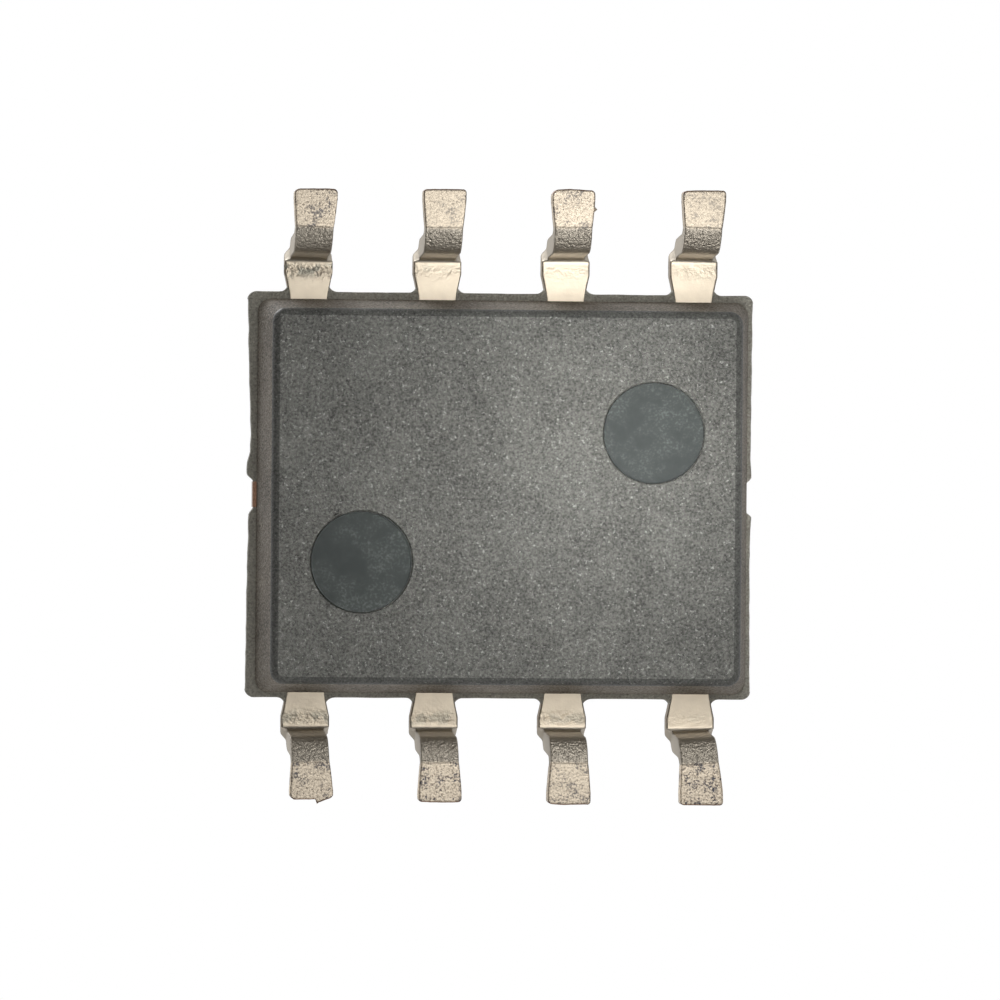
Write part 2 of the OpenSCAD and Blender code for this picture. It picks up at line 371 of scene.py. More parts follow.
@dataclass(frozen=True)
class MattTin(Finish):
    """Matt tin, electroplated on a stamped and formed strip."""

    # The eye sees a warm, pale satin. Where the tool pressed, the tin is mottled: its cream specks are
    # painted glints of crystals, and its blue-grey specks painted shade in pits. Where the strip was bent,
    # the tin is crazed, and its duller, browner colour is painted shade; grey bruises lie just before the
    # bend.
    name: str = "matt_tin"
    cream: str = "#f1e4ce"
    dull: str = "#d8cbb7"
    crystal_glint: str = "#ebddc8"
    pressed_tan: str = "#9c8d7c"
    pit_shade: str = "#5c5c63"
    strained_and_shaded: str = "#aca497"
    bruise: str = "#94968d"
    cloud_mm: float = 0.15
    crystal_mm: float = 0.030
    speckle_mm: float = 0.020
    relief_mm: float = 0.0035
    crazing_mm: float = 0.0245
    # The pits gather where the clouds are thin, by this much
    clustering: float = 1.2
    # Fewer crystals stand in the deeper pits, by this much
    drowning: float = 0.18
    # Stretches of the noises over which the painted shade of the pits, the painted glints of the crystals and
    # the bruises come up
    pit_ramp: tuple[float, float] = (1.12, 0.86)
    crystal_ramp: tuple[float, float] = (0.30, 0.515)
    bruise_ramp: tuple[float, float] = (0.50, 0.58)
    bruise_cover: float = 0.9
    # Tin that was not pressed keeps this share of the relief
    rolled_relief: float = 0.35
    roughness: float = 0.48

    def look(self, add: Add, place: NodeSocket) -> Look:
        """Adds crystals and clouds, and what the strip's own attributes say of pressing and forming.

        Args:
            add: Adds nodes to the material.
            place: Object coordinates, in metres.

        Returns:
            The look.
        """
        pressed, formed, dented = (
            add("Attribute", attribute_name=mark.value).outputs["Fac"] for mark in Mark
        )
        crystal, speckle, cloud = (
            add("TexNoise", {"Vector": place, "Scale": 1 / (size * MM), "Detail": 2.0, "Roughness": 0.55})
            for size in (self.crystal_mm, self.speckle_mm, self.cloud_mm)
        )
        clustered = add("Math", [cloud, self.clustering, crystal], operation="MULTIPLY_ADD")
        # The pressed tin's mottle is painted: depth is the share of painted shade in the pits, fleck the
        # share of painted glint on the crystals
        depth = add("MapRange", [clustered, *self.pit_ramp])
        raised = add("Math", [depth, -self.drowning, speckle], operation="MULTIPLY_ADD")
        fleck = add("MapRange", [raised, *self.crystal_ramp])
        painted_mottle: Any = linear(self.pressed_tan)
        for share, over in ((depth, self.pit_shade), (fleck, self.crystal_glint)):
            painted_mottle = add("Mix", {"Factor": share, "A": painted_mottle, "B": linear(over)}, data_type="RGBA")
        patch = add("MapRange", [cloud, *self.bruise_ramp, 0.0, self.bruise_cover])
        bruised = add("Math", [patch, dented], operation="MULTIPLY")
        strength = add("MapRange", [pressed, 0.0, 1.0, self.rolled_relief, 1.0])
        crazed = add("Math", [formed, pressed, dented], operation="MULTIPLY_ADD")
        normal = add("Bump", {"Height": crystal, "Distance": self.relief_mm * MM, "Strength": strength})
        normal = add(
            "Bump",
            {"Height": crystal, "Distance": self.crazing_mm * MM, "Strength": crazed, "Normal": normal},
        )
        # Where the strip was formed, its darker, browner colour is painted shade
        return Look(
            self.dull,
            [(cloud, self.cream), (pressed, painted_mottle), (bruised, self.bruise), (formed, self.strained_and_shaded)],
            {"Normal": normal, "Metallic": 1.0, "Roughness": self.roughness},
        )


@dataclass(frozen=True)
class ShearedCopper(Finish):
    """Copper alloy bared where a punch cut the strip."""

    # The eye sees reddish metal with upright drag marks.
    name: str = "sheared_copper"
    bright: str = "#8e6f5b"
    dull: str = "#5d4639"
    streak_mm: float = 0.02
    # The streaks are this many times longer than they are wide
    stretch: float = 5.0
    roughness: float = 0.42

    def look(self, add: Add, place: NodeSocket) -> Look:
        """Adds the punch's upright streaks.

        Args:
            add: Adds nodes to the material.
            place: Object coordinates, in metres.

        Returns:
            The look.
        """
        upright = add("Mapping", {"Vector": place, "Scale": (1.0, 1.0, 1 / self.stretch)})
        streak = add("TexNoise", {"Vector": upright, "Scale": 1 / (self.streak_mm * MM), "Detail": 3.0})
        return Look(self.dull, [(streak, self.bright)], {"Metallic": 1.0, "Roughness": self.roughness})


@dataclass(frozen=True)
class GrainedSolid(Finish):
    """A sealed inner piece: a plain metal, adhesive or crystal with a fine grain."""

    dark: str
    light: str
    grain_mm: float
    metallic: float
    roughness: float

    def look(self, add: Add, place: NodeSocket) -> Look:
        """Adds the grain in two close colours.

        Args:
            add: Adds nodes to the material.
            place: Object coordinates, in metres.

        Returns:
            The look.
        """
        grain = add("TexNoise", {"Vector": place, "Scale": 1 / (self.grain_mm * MM), "Detail": 4.0})
        return Look(
            self.dark, [(grain, self.light)], {"Metallic": self.metallic, "Roughness": self.roughness}
        )


# ---------------------------------------------------------------- moulded body


class Skin(IntEnum):
    """Kinds of moulded surface, numbered as the body's materials are."""

    FACE = 0
    PIN = 1
    LEDGE = 2
    WALL = 3
    RIM = 4


@dataclass(frozen=True)
class RoundMark:
    """A round mark in a flat face, as rings of (radius, depth) from its rim to its floor."""

    centre: tuple[float, float]
    rings: Pairs
    floor_from: int
    # Where a nick was broken out of the rim, and how far out and how wide it is
    nick_deg: float | None = None
    nick: float = 0.016
    nick_spread: float = 0.05
    nick_from: float = 0.5
    sides: int = 96

    def circle(self, radius: float) -> np.ndarray:
        """Points of a ring in plan, with the nick in its rim.

        Args:
            radius: Radius of the ring.

        Returns:
            Its points.
        """
        angles = np.arange(self.sides) * 2 * math.pi / self.sides
        grown = np.full(self.sides, radius)
        if self.nick_deg is not None:
            off = (angles - math.radians(self.nick_deg) + math.pi) % (2 * math.pi) - math.pi
            grown += self.nick * np.exp(-((off / self.nick_spread) ** 2)) * (radius > self.nick_from)
        return np.array(self.centre) + np.stack([grown * np.cos(angles), grown * np.sin(angles)], axis=1)


class MeshDraft:
    """Collects a mesh's vertices and faces, in millimetres."""

    def __init__(self) -> None:
        """Starts with nothing."""
        self.points: list[np.ndarray] = []
        self.faces: list[Sequence[int]] = []
        self.kinds: list[int] = []
        self.count = 0

    def ring(self, plan: np.ndarray, z: float) -> Ring:
        """Adds a ring of vertices.

        Args:
            plan: Its points in plan.
            z: Its height.

        Returns:
            The vertices' numbers.
        """
        self.points.append(np.column_stack([plan, np.full(len(plan), z)]))
        first, self.count = self.count, self.count + len(plan)
        return list(range(first, self.count))

    def band(self, low: Ring, high: Ring, kind: int) -> None:
        """Joins two rings of as many vertices by a band of quads.

        Args:
            low: Vertices of one ring.
            high: Vertices of the other.
            kind: Number of the quads' material.
        """
        for k, here in enumerate(low):
            after = (k + 1) % len(low)
            self.add([here, low[after], high[after], high[k]], kind)

    def add(self, face: Sequence[int], kind: int) -> None:
        """Adds a face with the number of its material."""
        self.faces.append(face)
        self.kinds.append(kind)

    def mesh(self, name: str, finishes: Sequence[Finish]) -> Mesh:
        """Writes the mesh in metres, with every face outward.

        Args:
            name: Name of the mesh.
            finishes: Finish of each kind of face.

        Returns:
            The mesh.
        """
        made = bpy.data.meshes.new(name)
        made.from_pydata((np.concatenate(self.points) * MM).tolist(), [], self.faces)
        made.polygons.foreach_set("material_index", self.kinds)
        for finish in finishes:
            made.materials.append(finish.material())
        face_outwards(made)
        return made


@dataclass
class MouldedBody:
    """The epoxy body: two drafted halves, the ledge between them, its marks and its worn edge."""

    node: str = "body"
    smooth_deg: float = 25.0
    strip_t: float = 0.20
    draft_deg: float = 10.0
    edge_r: float = 0.085
    edge_steps: int = 10
    # Where the steep wall has rings, as shares of its height
    wall_shares: tuple[float, ...] = (0.35, 0.7, 1.0)
    # The end walls lean in this much more than the walls along the rows
    end_lean: float = 0.018
    # Each flat face has a ring this far inside its edge, so that its shading stays flat
    inset: float = 0.020
    face_corner_r: float = 0.05
    # The lower half of the mould closed a little off the upper one
    mould_shift: tuple[float, float] = (0.022, 0.010)
    ledge: float = 0.075
    row_ledge: float = 0.063
    ledge_corner_r: float = 0.085
    ledge_edge_r: float = 0.014
    ledge_edge_steps: int = 4
    ledge_sink: float = 0.004
    # The vertices of a side stay in place over this share of its outermost straight stretch
    knee: float = 0.85
    # The ledge's edge wanders inwards by up to this, and a worn end by up to this again, in such waves
    wander: float = 0.004
    wander_period: float = 0.9
    end_wander: float = 0.003
    end_wander_period: float = 0.35
    # Beside each lead stands a hollow quarter round of resin, and their widths differ a little
    metal_half_w: float = 0.197
    fillet_l: float = 0.09
    fillet_rise: float = 0.080
    fillet_w: float = 0.088
    fillet_spread: float = 0.12
    # Round each cut tie bar the ledge has a notch with soft shoulders
    notch_w: float = 0.30
    notch_lip: float = 0.003
    notch_shoulder: tuple[float, float] = (-0.05, 0.03)
    pin_mark_at: tuple[float, float] = (1.43, -0.64)
    # A fine groove runs round each mark's flat, slightly sunk floor
    pin_mark: Pairs = (
        (0.522, 0.0), (0.510, 0.0), (0.507, 0.004), (0.503, 0.022), (0.499, 0.022), (0.495, 0.008),
        (0.491, 0.001), (0.486, 0.001), (0.479, 0.007), (0.2, 0.007),
    )
    pin_floor_from: int = 5
    pin_nick_deg: float = 241.0
    # Rings of the dimple for pin 1, as (distance outside its radius, depth)
    dimple: Pairs = (
        (0.020, 0.0), (0.008, 0.0), (0.003, 0.003), (0.0, 0.010), (-0.012, 0.045), (-0.020, 0.056),
        (-0.034, 0.060), (-0.15, 0.060),
    )
    dimple_floor_from: int = 6
    dimple_r: float = 0.30
    dimple_edge: float = 0.22
    # How far the ledge's two ends are worn back, as (place along the end, recess)
    worn_left: Pairs = (
        (-1.9, 0.004), (-1.3, 0.016), (-0.9, 0.030), (-0.6, 0.040), (-0.42, 0.034), (-0.31, 0.004),
        (-0.22, 0.0), (-0.13, 0.012), (0.15, 0.024), (0.4, 0.020), (0.9, 0.010), (1.5, 0.006), (1.9, 0.0),
    )
    worn_right: Pairs = (
        (-1.9, 0.002), (-1.0, 0.006), (-0.4, 0.010), (-0.24, 0.002), (0.2, 0.0), (0.32, 0.003),
        (0.5, 0.012), (1.2, 0.008), (1.9, 0.002),
    )

    def __post_init__(self) -> None:
        """Reads the body's size from the frame and works out what follows from it."""
        low, high = box_mm(self.node)
        self.under, self.top = float(low[2]), float(high[2])
        self.ledge_half_l = float(high[0])
        self.foot_half_l = self.ledge_half_l - self.ledge
        self.foot_half_w = float(high[1]) - self.fillet_l - self.ledge
        self.ledge_half_w = self.foot_half_w + self.row_ledge
        self.half_h = (self.top - self.under - self.strip_t) / 2
        self.slope = math.tan(math.radians(self.draft_deg))
        self.toes = [toe_x(n) for n in range(5, 9)]
        self.outer_straight_l = self.ledge_half_l - self.ledge_corner_r
        self.outer_straight_w = self.ledge_half_w - self.ledge_corner_r
        half, notch = self.metal_half_w, self.notch_w / 2
        fillets = [x + s * d for x in self.toes for s in (-1, 1) for d in (half, half + self.fillet_w / 2)]
        self.along_x = self.side_places(self.outer_straight_l, fillets)
        self.along_y = self.side_places(self.outer_straight_w, [-notch, notch])

    @staticmethod
    def side_places(straight: float, fine: Sequence[float]) -> np.ndarray:
        """Places of the vertices along a side, closer together near its details.

        Args:
            straight: Half the length of the side's straight stretch.
            fine: Places of the details.

        Returns:
            Rising places from one end of the stretch to the other.
        """
        near, tight, wide = 0.06, 0.006, 0.035
        places, x = [], -straight
        while x < straight - tight / 2:
            places.append(x)
            gap = min(abs(x - f) for f in fine)
            x += tight + (wide - tight) * min(1.0, gap / near) ** 2
        return np.array([*places, straight])

    def ring_plan(self, half_l: float, half_w: float, corner_r: float) -> tuple[np.ndarray, np.ndarray]:
        """Rounded rectangle whose vertices line up with those of every other ring.

        Args:
            half_l: Half its length, along X.
            half_w: Half its width, along Y.
            corner_r: Radius of its corners.

        Returns:
            Its points and their outward directions, in plan.
        """
        points, outward = [], []
        for quarter, (half_out, half_run, places, outer) in enumerate(
            [(half_l, half_w, self.along_y, self.outer_straight_w),
             (half_w, half_l, self.along_x, self.outer_straight_l)] * 2
        ):
            turn = quarter * math.pi / 2
            rotation = np.array([[math.cos(turn), math.sin(turn)], [-math.sin(turn), math.cos(turn)]])
            # Only the places beyond the knee shift with the length, so the details stay where they are
            straight, knee = half_run - corner_r, self.knee * outer
            stretched = knee + (np.abs(places) - knee) * (straight - knee) / (outer - knee)
            run = np.where(np.abs(places) < knee, places, np.sign(places) * stretched)
            side = np.stack([np.full(len(run), half_out), run], axis=1)
            angles = np.arange(1, self.edge_steps) * math.pi / 2 / self.edge_steps
            round_out = np.stack([np.cos(angles), np.sin(angles)], axis=1)
            corner = np.array([half_out - corner_r, straight]) + corner_r * round_out
            points.append(np.concatenate([side, corner]) @ rotation)
            outward.append(np.concatenate([np.tile([1.0, 0.0], (len(run), 1)), round_out]) @ rotation)
        return np.concatenate(points), np.concatenate(outward)

    def ledge_growth(self, plan: np.ndarray, outward: np.ndarray) -> np.ndarray:
        """How far the ledge's edge stands out of its plain outline, all round.

        Args:
            plan: Points of the plain outline.
            outward: Their outward directions.

        Returns:
            The growth at each point: fillets stand out, notches and wear go in.
        """
        x, y = plan.T
        on_end, on_row = np.abs(outward.T) > 0.999
        growth = -self.wander * (1 + ripple(x * 1.3 + y * 2.1, seed=5, period=self.wander_period)) / 2
        for place in self.toes:
            for row in (-1, 1):
                width = self.fillet_w * (1 + self.fillet_spread * math.sin(7.3 * place + 2.1 * row))
                inside = 1 - np.clip((np.abs(x - place) - self.metal_half_w) / width, 0.03, 1)
                flare = self.fillet_rise * (1 - np.sqrt(1 - inside**2))
                growth += np.where(on_row & (np.sign(y) == row), flare, 0)
        for side, worn in ((-1, self.worn_left), (1, self.worn_right)):
            places, recess = np.array(worn).T
            uneven = self.end_wander * (1 + ripple(y, seed=11 + side, period=self.end_wander_period))
            growth -= np.where(on_end & (np.sign(x) == side), np.interp(y, places, recess) + uneven, 0)
        into = smooth_step(self.notch_w / 2 - np.abs(y), *self.notch_shoulder)
        return np.where(on_end, growth + into * (self.notch_lip - self.ledge - growth), growth)

    def half_rings(self) -> list[tuple[float, float, float]]:
        """Rings of a half from inside its flat face to the ledge.

        Returns:
            Each ring's (distance out of the face's edge, rise, corner radius).
        """
        last = math.radians(90 - self.draft_deg)
        arc = [last * k / self.edge_steps for k in range(self.edge_steps + 1)]
        rings = [(self.edge_r * math.sin(a), self.edge_r * (1 - math.cos(a))) for a in arc]
        out, rise = rings[-1]
        for share in self.wall_shares:
            z = rise + (self.half_h + self.ledge_sink - rise) * share
            rings.append((out + (z - rise) * self.slope, z))
        return [(-self.inset, 0.0, self.face_corner_r - self.inset)] + [
            (o, z, self.face_corner_r + min(o, out)) for o, z in rings
        ]

    def draft_mesh(self) -> MeshDraft:
        """Lofts the walls and the ledge, and closes them with the two flat faces.

        Returns:
            The body's draft.
        """
        half = self.half_rings()
        foot_out, foot_rise, _ = half[-1]
        reach = foot_out - self.ledge_sink * self.slope
        face_l, face_w = self.foot_half_l - reach, self.foot_half_w - reach
        upper = [
            self.ring_plan(face_l + out - self.end_lean * (1 - rise / foot_rise), face_w + out, corner)[0]
            for out, rise, corner in half
        ]
        lower = [plan + np.array(self.mould_shift) for plan in upper]
        outline, outward = self.ring_plan(self.ledge_half_l, self.ledge_half_w, self.ledge_corner_r)
        outline = outline + outward * self.ledge_growth(outline, outward)[:, None]
        edge, steps = self.ledge_edge_r, self.ledge_edge_steps
        turns = [math.pi / 2 * k / steps for k in range(steps + 1)]
        # Rings of the ledge, as (share of the way out, height above the foot of the wall)
        shares = [(0.5, 0.0)] + [
            (1 - (1 - math.sin(t)) * edge / self.ledge, edge * (1 - math.cos(t))) for t in turns
        ]
        low_z, high_z = self.under + foot_rise, self.top - foot_rise
        levels = [(plan, self.under + rise) for plan, (_, rise, _) in zip(lower, half)]
        levels += [(lower[-1] + s * (outline - lower[-1]), low_z + rise) for s, rise in shares]
        levels += [(upper[-1] + s * (outline - upper[-1]), high_z - rise) for s, rise in shares[::-1]]
        levels += [(plan, self.top - rise) for plan, (_, rise, _) in zip(upper[::-1], half[::-1])]
        draft = MeshDraft()
        rings = [draft.ring(plan, z) for plan, z in levels]
        bands = len(rings) - 1
        for k, (low, high) in enumerate(zip(rings, rings[1:])):
            draft.band(low, high, self.skin(min(k, bands - 1 - k), len(half) - 1))
        dimple_at = tuple(self.dimple_r + self.dimple_edge - half_face for half_face in (face_l, face_w))
        self.close_face(draft, rings[0], self.under, 1, self.pin_marks())
        dimple = tuple((self.dimple_r + out, depth) for out, depth in self.dimple)
        self.close_face(
            draft, rings[-1], self.top, -1, [RoundMark(dimple_at, dimple, self.dimple_floor_from)]
        )
        return draft

    def skin(self, band: int, half_bands: int) -> Skin:
        """Kind of surface of a band.

        Args:
            band: How many bands lie between it and the nearer flat face.
            half_bands: How many bands a half has, from its flat face to the foot of its wall.

        Returns:
            The kind. The rounded edge's first band still belongs to the face.
        """
        if band >= half_bands:
            return Skin.LEDGE
        if band >= half_bands - len(self.wall_shares):
            return Skin.WALL
        return Skin.RIM if band > 1 else Skin.FACE

    def pin_marks(self) -> list[RoundMark]:
        """The two ejector-pin marks in the flat face below.

        Returns:
            The marks, one of them with a nick in its rim.
        """
        at, shift = np.array(self.pin_mark_at), np.array(self.mould_shift)
        return [RoundMark(tuple(shift + at), self.pin_mark, self.pin_floor_from),
                RoundMark(tuple(shift - at), self.pin_mark, self.pin_floor_from, self.pin_nick_deg)]

    def close_face(
        self, draft: MeshDraft, rim: Ring, z: float, inwards: int, marks: Sequence[RoundMark]
    ) -> None:
        """Fills a flat face inside its rim, round its marks, and sinks the marks.

        Args:
            draft: Mesh that takes the faces.
            rim: Vertices round the flat face.
            z: Height of the face.
            inwards: 1 where the resin lies above the face, -1 where it lies below.
            marks: Round marks in the face.
        """
        circles = [mark.circle(mark.rings[0][0]) for mark in marks]
        plan = np.concatenate([np.concatenate(draft.points)[rim][:, :2], *circles])
        starts = [draft.ring(circle, z) for circle in circles]
        numbers = [v for ring in (rim, *starts) for v in ring]
        edges, first = [], 0
        for ring in (rim, *starts):
            edges += [(first + (k - 1) % len(ring), first + k) for k in range(len(ring))]
            first += len(ring)
        _, _, faces, origins, _, _ = delaunay_2d_cdt([Vector(p) for p in plan], edges, [], 0, 1e-6, True)
        for face in faces:
            corners = [origins[v][0] for v in face]
            middle = plan[corners].mean(axis=0)
            if all(np.linalg.norm(middle - m.centre) > m.rings[0][0] * 0.999 for m in marks):
                draft.add([numbers[c] for c in corners][::-inwards], Skin.FACE)
        for mark, ring in zip(marks, starts):
            for k, (radius, depth) in enumerate(mark.rings[1:], 1):
                deeper = draft.ring(mark.circle(radius), z + inwards * depth)
                draft.band(*((deeper, ring)[::inwards]), Skin.PIN if k > mark.floor_from else Skin.FACE)
                ring = deeper
            draft.add(ring[::-inwards], Skin.PIN)

    def build(self) -> Object:
        """Makes the body's piece, on its CAD body and in place of its CAD node.

        Returns:
            The body's piece.
        """
        # The parting ledge was blast-cleaned of flash, which leaves it a little paler and browner than the
        # moulded skin;
        # the rest of its paleness is painted light against the shade that the body casts on it
        blasted_and_lit_ledge = MouldedEpoxy("blasted_epoxy_painted_light", "#86837a", "#c1bdb0", "#d2cec0", roughness=0.7, gloss=0.3)
        # The steep walls rubbed along the cavity as they left it, and stayed duller
        drawn = MouldedEpoxy("drawn_epoxy", "#3f3b35", "#b7ac9d", "#ddd3c2", roughness=0.65, gloss=0.35)
        # The cavity's rounded edges were polished by hand, so the resin there has a smoother grain; its
        # darker colour is painted shade, where the edge turns away from the lamps
        rim = MouldedEpoxy(
            "polished_edge_epoxy_painted_shade", "#363634", "#6d6d68", "#959590", relief_mm=0.008, gloss=0.35
        )
        # In the order of the kinds of skin
        finishes = (MouldedEpoxy(), PinFaceEpoxy(), blasted_and_lit_ledge, drawn, rim)
        mesh = self.draft_mesh().mesh("moulded_body", finishes)
        return stand_in(mesh, self.node, Slot.MOULD_COMPOUND, self.smooth_deg)


# ---------------------------------------------------------------- leads


@dataclass(frozen=True)
class ToeCut:
    """How a lead's toe was cut, and how the lead differs from its neighbours."""

    # The cut, as (place across the strip from -1 to 1, how far back from the frame's toe)
    outline: Pairs
    # Where the sole meets the heel, from the middle of the body
    heel: float
    # How strongly the forming tool bruised the shoulder and pressed pits into the sole
    dents: float
    pitting: float
    corner_r: float = 0.035
    # How far the foot leans aside, towards +X
    sway: float = 0.0
    # Burr along the underside, as (place across, how far it stands out)
    burr: Pairs = ((-1.0, 0.0), (1.0, 0.0))
    # Nub of smeared tin on the side at +X, as (distance from the middle of the body, height)
    nub: tuple[float, float] | None = None


@dataclass(frozen=True)
class Lead:
    """One gull-wing lead, swept along its bent middle line."""

    number: int
    cut: ToeCut
    finger_turn: float
    smooth_deg: float = 40.0
    strip_t: float = 0.20
    foot_w: float = 0.42
    leg_w: float = 0.366
    stub_w: float = 0.47
    neck_w: float = 0.378
    bend_r: float = 0.06
    leg_slope: float = 4.0
    # The heel is a wider bend, and the pressed sole meets it at a crease
    heel_r: float = 0.13
    crease_deg: float = 20.0
    crease: float = 0.006
    coining: float = 0.985
    edge_r: float = 0.015
    body_half_w: float = 1.935
    # From the neck to the stub the strip widens along a curve of this power
    stub_from: float = 2.18
    flare_power: float = 1.25
    # The cut stub ends a little way round the bend, past the shoulder
    stub_end: tuple[float, float] = (0.055, 0.115)
    # The foot reaches its full width this share of the way to the toe, along a curve of this power
    foot_flare: float = 0.7
    foot_power: float = 0.8
    # Forming strains and crazes the tin from just past the shoulder on, where its darker colour is painted
    # shade, and bruises it just before
    strained_from: tuple[float, float] = (0.03, 0.08)
    bruised_at: float = -0.06
    bruise_spread: float = 0.065
    # The inner finger starts here, and it is straight again this deep inside the resin
    finger_from: float = 1.25
    finger_depth: float = 0.1
    # The strip thins and narrows over this length at its two ends, so that they look rounded
    end_round: float = 0.02
    toe_thinning: float = 0.07
    finger_thinning: float = 0.08
    finger_narrowing: float = 0.1
    # The heel's bumps grow along its bend, and are full this share of it before the sole
    bumpy_from: float = 0.35
    # The cut shapes this much of the toe, up to this many times the strip's thickness, and its edge is
    # rough by up to this, in waves of this length
    cut_depth: float = 0.16
    cut_height: float = 1.2
    cut_wander: float = 0.0015
    cut_period: float = 0.12
    # Height of the burr, the share of it that is full, and how far back it reaches
    burr_h: float = 0.06
    burr_full: float = 0.2
    burr_l: float = 0.05
    # The nub's middle height, its spread along the lead and upwards, and the share of the half width
    # beyond which it shows
    nub_up: float = 0.05
    nub_spread: tuple[float, float] = (0.018, 0.03)
    nub_from: float = 0.7
    step: float = 0.014
    unevenness: float = 0.0022

    @property
    def node(self) -> str:
        """Name of the CAD node that the lead stands for."""
        return f"lead_{self.number}"

    @property
    def side(self) -> int:
        """1 where the lead points towards +Y, -1 where it points back."""
        return 1 if self.number > 4 else -1

    @property
    def toe(self) -> float:
        """Distance of the toe's end from the middle of the body."""
        return max(abs(corner[1]) for corner in box_mm(self.node))

    def stretches(self) -> tuple[list[tuple[Any, Any]], float, float]:
        """The middle line seen from the side, in pieces from the inner end to the toe.

        Returns:
            Each piece's (distances from the middle of the body, heights), the distance of the shoulder,
            and the length of the heel's bend.
        """
        level = float(box_mm(self.node)[1][2]) - self.strip_t / 2
        bend, crease = math.radians(90 - self.leg_slope), math.radians(self.crease_deg)
        sole_up = self.strip_t / 2
        mid_r, heel_r = self.bend_r + sole_up, self.heel_r + sole_up
        heel = self.cut.heel
        leg_foot = heel - heel_r * (math.sin(bend) - math.sin(crease))
        leg_foot_up = sole_up + heel_r * (math.cos(crease) - math.cos(bend))
        leg_drop = level - mid_r * (1 - math.cos(bend)) - leg_foot_up
        leg_run = leg_drop * math.tan(math.radians(self.leg_slope))
        shoulder = leg_foot - leg_run - mid_r * math.sin(bend)
        turns, heel_turns = np.linspace(0, bend, 19), np.linspace(bend, crease, 22)
        down_leg = np.linspace(1, 0, 18)[1:-1]
        return [
            # The inner finger, finer at its end, and the shoulder
            (np.array([0.0, 0.004, 0.012, 0.025]) + self.finger_from, level),
            (np.linspace(self.finger_from, self.body_half_w - 0.05, 8)[1:], level),
            (np.arange(self.body_half_w - 0.04, shoulder - self.step / 2, self.step), level),
            # The bend, the leg and the heel
            (shoulder + mid_r * np.sin(turns), level - mid_r * (1 - np.cos(turns))),
            (leg_foot - leg_run * down_leg, leg_foot_up + leg_drop * down_leg),
            (heel - heel_r * (np.sin(heel_turns) - math.sin(crease)),
             sole_up + heel_r * (math.cos(crease) - np.cos(heel_turns))),
            # The sole, finer at its crease and at the toe
            (heel + self.crease * np.array([0.5, 1.0]), sole_up),
            (np.arange(heel + 2 * self.crease, self.toe - 0.025, self.step), sole_up),
            (self.toe - np.array([0.024, 0.016, 0.010, 0.006, 0.003, 0.001, 0.0]), sole_up),
        ], shoulder, heel_r * (bend - crease)

    def path(self) -> dict[str, np.ndarray]:
        """Middle line from the inner end to the toe, with what it carries.

        Returns:
            The line's columns by name: aside, out and up place it, and the others are the attributes that
            the sweep and the finish read.
        """
        pieces, shoulder, heel_l = self.stretches()
        toe, heel, cut, body = self.toe, self.cut.heel, self.cut, self.body_half_w
        out = np.concatenate([out for out, _ in pieces])
        up = np.concatenate([np.broadcast_to(up, len(out)) for out, up in pieces])
        run = np.concatenate([[0], np.cumsum(np.hypot(np.diff(out), np.diff(up)))])
        on_sole = (up < self.strip_t / 2 + 1e-6) & (out >= heel)
        from_bend, to_heel = run - np.interp(shoulder, out, run), run - run[np.argmax(on_sole)]
        to_toe = toe - out
        neck, stub, leg, foot = (w / 2 for w in (self.neck_w, self.stub_w, self.leg_w, self.foot_w))
        flare = np.clip((out - body) / (self.stub_from - body), 0, 1)
        half = neck + (stub - neck) * flare**self.flare_power
        half = half + (leg - half) * smooth_step(from_bend, *self.stub_end)
        flare = np.clip(to_heel / (self.foot_flare * (toe - heel)), 0, 1)
        half = half + (foot - leg) * flare**self.foot_power
        rounded = cut.corner_r - np.sqrt(np.clip(cut.corner_r**2 - (cut.corner_r - to_toe) ** 2, 0, None))
        half = half - np.where(on_sole & (to_toe < cut.corner_r), rounded, 0)
        thick = np.where(on_sole & (out > heel + self.crease / 2), self.coining, 1.0)
        thick = thick - self.toe_thinning * np.clip(1 - to_toe / self.end_round, 0, 1) ** 2 * on_sole
        inner_end = np.clip(1 - run / self.end_round, 0, 1) ** 2
        finger_end = body - self.finger_depth
        finger = np.clip((finger_end - out) / (finger_end - self.finger_from), 0, 1)
        turned = -finger * self.finger_turn * math.copysign(1, toe_x(self.number))
        bumpy = smooth_step(to_heel, -heel_l, -self.bumpy_from * heel_l)
        bruised = np.exp(-(((from_bend - self.bruised_at) / self.bruise_spread) ** 2))
        return {
            "aside": turned + cut.sway * smooth_step(out, shoulder, toe),
            "out": out,
            "up": up,
            "half_width": half * (1 - self.finger_narrowing * inner_end),
            "thick": thick * (1 - self.finger_thinning * inner_end),
            Mark.PRESSED.value: np.where(on_sole, cut.pitting, bumpy),
            Mark.FORMED.value: smooth_step(from_bend, *self.strained_from) * (to_heel < self.crease / 2),
            Mark.DENTED.value: cut.dents * bruised,
        }

    def path_object(self) -> Object:
        """Makes the middle line an object whose points carry the sweep's attributes.

        Returns:
            The object, whose mesh is a chain of edges.
        """
        line = self.path()
        spine = MM * np.stack(
            [toe_x(self.number) + line.pop("aside"), self.side * line.pop("out"), line.pop("up")], axis=1
        )
        mesh = bpy.data.meshes.new(f"{self.node}_path")
        mesh.from_pydata(spine.tolist(), [(k, k + 1) for k in range(len(spine) - 1)], [])
        line["half_width"] *= MM
        for name, values in line.items():
            mesh.attributes.new(name, "FLOAT", "POINT").data.foreach_set("value", values.astype(np.float32))
        held = mesh.attributes.new("spine", "FLOAT_VECTOR", "POINT")
        held.data.foreach_set("vector", spine.astype(np.float32).ravel())
        return new_object(mesh.name, mesh)

